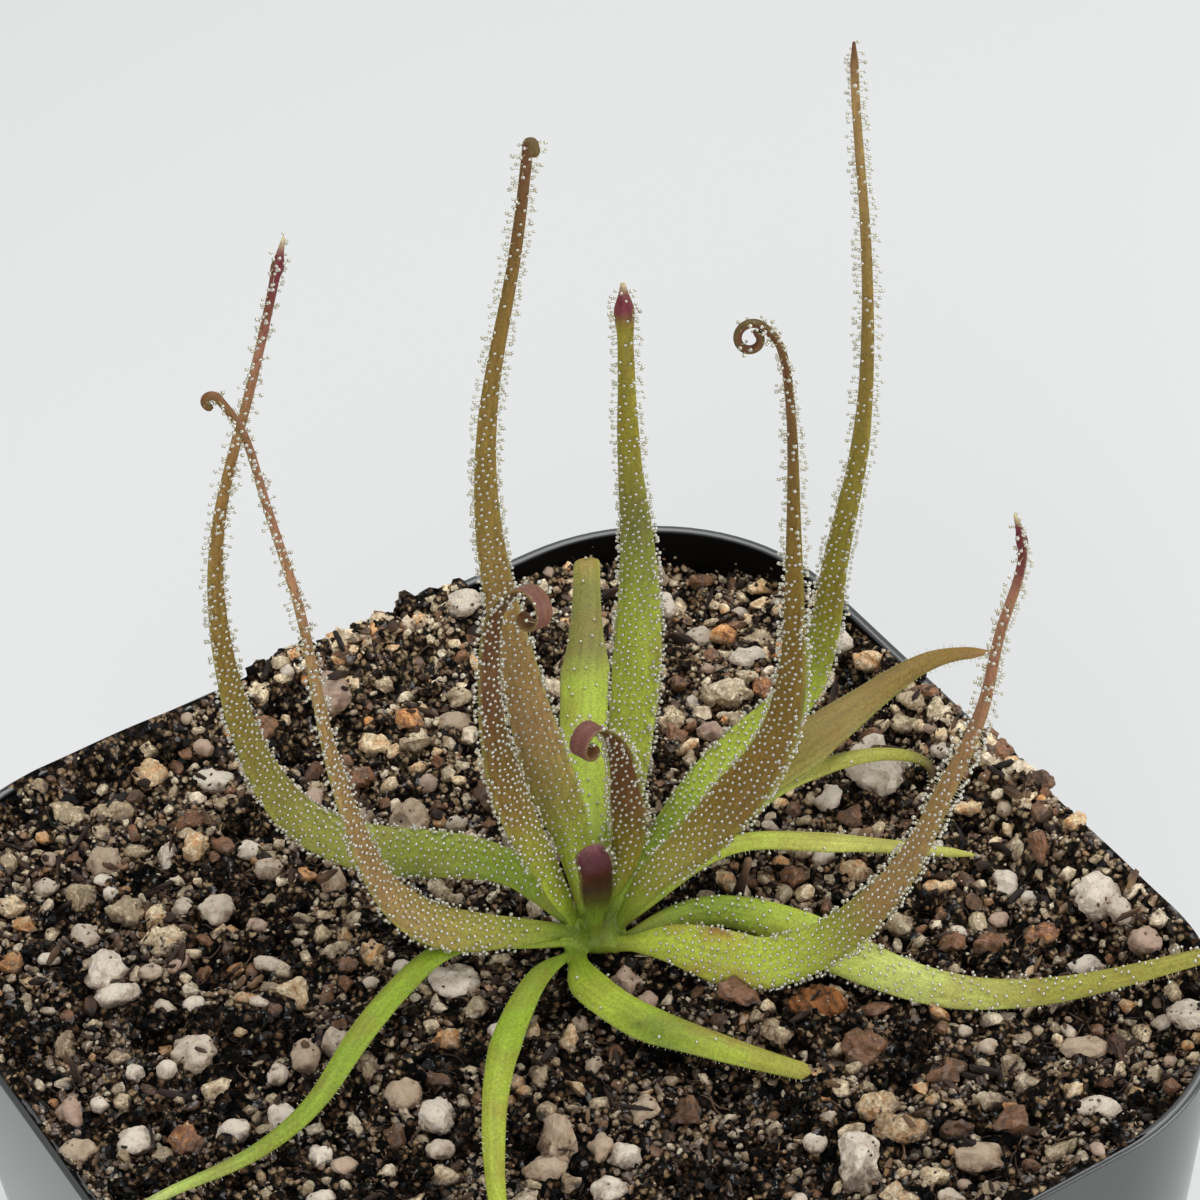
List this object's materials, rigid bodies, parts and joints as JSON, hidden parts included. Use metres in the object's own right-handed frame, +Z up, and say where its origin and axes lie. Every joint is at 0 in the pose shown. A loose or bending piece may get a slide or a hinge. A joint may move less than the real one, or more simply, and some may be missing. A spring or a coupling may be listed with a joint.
{
  "type": "potted butterwort",
  "caption": "Rosette of long narrow sticky leaves, some with coiled tips, growing in gritty soil in a square tapered black pot.",
  "frame": {"origin": "middle of the pot's flat underside", "axes": "+Z up, X and Y along the pot's sides"},
  "size_m": [0.0818, 0.076, 0.124],
  "materials": {
    "pot_plastic": "satin black moulded plastic",
    "potting_mix": "damp peat with sand, stones and perlite",
    "leaf_bases": "smooth, softly waxy leaf",
    "leaf_green": "soft leaf with sticky droplets",
    "leaf_yellow_green": "soft leaf with sticky droplets",
    "leaf_brown": "soft leaf with sticky droplets",
    "leaf_purple": "smooth back of a young leaf"
  },
  "bodies": {
    "root": {"pot": "pot_plastic", "soil": "potting_mix", "crown": "leaf_bases", "leaf_far_left": "leaf_green", "leaf_left_front": "leaf_brown", "leaf_left_back": "leaf_brown", "leaf_left_curled": "leaf_brown", "leaf_back": "leaf_green", "leaf_back_low": "leaf_yellow_green", "leaf_young_curled": "leaf_purple", "leaf_centre_bud": "leaf_purple", "leaf_right": "leaf_brown", "leaf_tallest": "leaf_green", "leaf_tan": "leaf_brown", "leaf_dipping": "leaf_green", "leaf_yellow": "leaf_yellow_green", "leaf_long_low": "leaf_green", "leaf_right_front": "leaf_green", "leaf_front_right": "leaf_green", "leaf_front": "leaf_yellow_green", "leaf_front_left": "leaf_green"}
  },
  "joints": []
}
